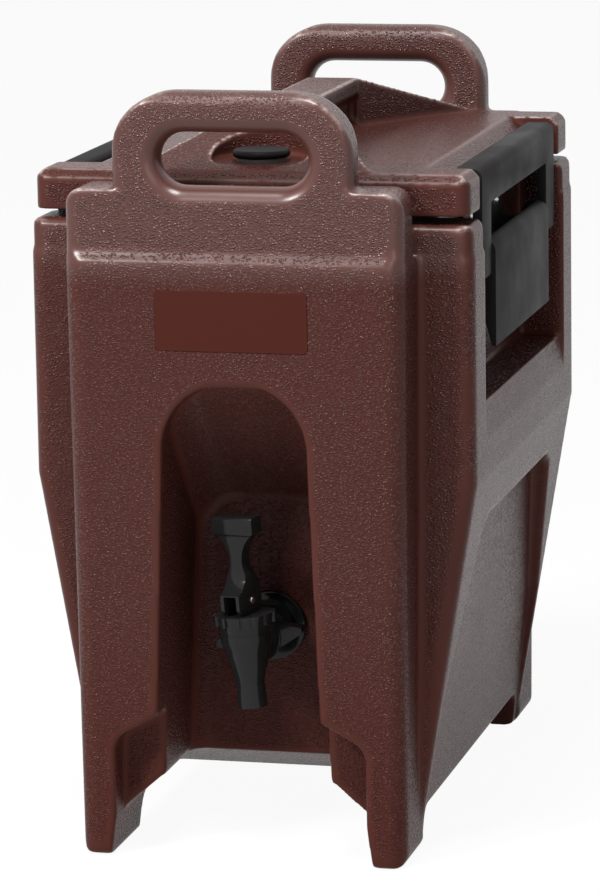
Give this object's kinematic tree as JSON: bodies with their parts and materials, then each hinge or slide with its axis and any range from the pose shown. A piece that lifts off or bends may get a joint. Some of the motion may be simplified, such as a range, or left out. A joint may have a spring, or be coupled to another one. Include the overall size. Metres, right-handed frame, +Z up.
{
  "type": "insulated beverage carrier",
  "caption": "Double-walled insulated drink carrier with hand grips at both ends, a latched lift-off lid with a vent, and a lever tap in a front recess.",
  "frame": {"origin": "on the floor, under the middle of the body's width and depth", "axes": "+X to the right of someone who faces the tap, +Y from the tap side to the rear, +Z up"},
  "size_m": [0.274, 0.416, 0.467],
  "materials": {
    "brown_plastic": "pebbled, satin",
    "foam": "closed-cell foam",
    "grey_rubber": "matt",
    "clear_rubber": "translucent silicone",
    "black_plastic": "satin nylon",
    "black_gloss": "gloss",
    "steel": "satin"
  },
  "bodies": {
    "carrier": {"body_shell": "brown_plastic", "front_end": "brown_plastic", "rear_end": "brown_plastic", "front_grip": "brown_plastic", "rear_grip": "brown_plastic", "feet": "brown_plastic", "foam_core": "foam", "tub_liner": "brown_plastic", "right_latch_bracket": "black_plastic", "right_lever_pin": "steel", "right_bracket_screws": "steel", "left_latch_bracket": "black_plastic", "left_lever_pin": "steel", "left_bracket_screws": "steel", "tap_shank": "black_gloss", "shank_seal": "clear_rubber", "shank_washer": "black_gloss", "shank_nut": "black_gloss", "union_washer": "clear_rubber", "wing_nut": "black_gloss", "tap_body": "black_gloss", "tap_bonnet": "black_gloss"},
    "lid": {"lid_shell": "brown_plastic", "lid_foam": "foam", "lid_gasket": "grey_rubber"},
    "vent": {"vent_cap": "black_plastic", "vent_seal": "grey_rubber"},
    "right_lever": {"right_latch_lever": "black_plastic"},
    "right_bail": {"right_latch_bail": "black_plastic"},
    "left_lever": {"left_latch_lever": "black_plastic"},
    "left_bail": {"left_latch_bail": "black_plastic"},
    "stem": {"valve_stem": "black_gloss", "seat_cup": "clear_rubber"},
    "tap_handle": {"tap_lever": "black_gloss", "tap_pin": "steel"}
  },
  "joints": [
    {"name": "lid_lift", "type": "slide", "parent": "carrier", "child": "lid", "axis": [0, 0, 1], "range_m": [0, 0.045]},
    {"name": "vent_pull", "type": "slide", "parent": "lid", "child": "vent", "axis": [0, 0, 1], "range_m": [0, 0.012]},
    {"name": "right_lever_swing", "type": "hinge", "parent": "carrier", "child": "right_lever", "pos_m": [0.1265, 0, 0.358], "axis": [0, -1, 0], "range_deg": [0, 60.01]},
    {"name": "right_bail_swing", "type": "hinge", "parent": "right_lever", "child": "right_bail", "pos_m": [0.121, 0, 0.347], "axis": [0, 1, 0], "range_deg": [0, 135.01]},
    {"name": "left_lever_swing", "type": "hinge", "parent": "carrier", "child": "left_lever", "pos_m": [-0.1265, 0, 0.358], "axis": [0, 1, 0], "range_deg": [0, 60.01]},
    {"name": "left_bail_swing", "type": "hinge", "parent": "left_lever", "child": "left_bail", "pos_m": [-0.121, 0, 0.347], "axis": [0, -1, 0], "range_deg": [0, 135.01]},
    {"name": "tap_lever_tilt", "type": "hinge", "parent": "stem", "child": "tap_handle", "pos_m": [-0.00209, -0.182, 0.15793], "axis": [0.9487, -0.309, 0.0663], "range_deg": [0, 25.1]},
    {"name": "stem_lift", "type": "slide", "parent": "carrier", "child": "stem", "axis": [-0.0698, 0, 0.9976], "range_m": [0, 0.00458], "stiffness_N_per_m": 2000}
  ],
  "couplings": [
    {"joint": "right_lever_swing", "follows": "lid_lift", "rad_per_m": 23.271},
    {"joint": "right_bail_swing", "follows": "lid_lift", "rad_per_m": 52.36},
    {"joint": "left_lever_swing", "follows": "lid_lift", "rad_per_m": 23.271},
    {"joint": "left_bail_swing", "follows": "lid_lift", "rad_per_m": 52.36},
    {"joint": "tap_lever_tilt", "follows": "stem_lift", "rad_per_m": 95.238}
  ]
}
